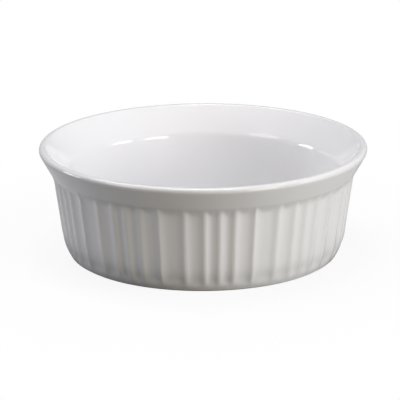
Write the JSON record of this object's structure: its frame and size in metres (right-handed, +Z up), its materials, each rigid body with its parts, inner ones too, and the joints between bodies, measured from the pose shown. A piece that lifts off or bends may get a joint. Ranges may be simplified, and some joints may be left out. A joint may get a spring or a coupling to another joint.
{
  "type": "casserole dish",
  "caption": "Round fluted stoneware casserole dish with a smooth flared rim and plain glazed inside, for baking and serving.",
  "frame": {"origin": "centre of the foot ring's underside, on the table", "axes": "+Z up out of the open mouth along the dish's axis; the pictured front faces -Y; +X is to the right in the picture"},
  "size_m": [0.21, 0.2099, 0.0714],
  "materials": {
    "bare_stoneware": "matt fired clay, ground flat on the foot ring",
    "white_glaze": "glossy opaque white glaze",
    "underside_white_glaze": "glossy opaque white glaze, wiped back from the foot ring"
  },
  "bodies": {
    "root": {"stoneware_body": "bare_stoneware", "glaze_coat": "white_glaze", "underside_glaze": "underside_white_glaze"}
  },
  "joints": []
}
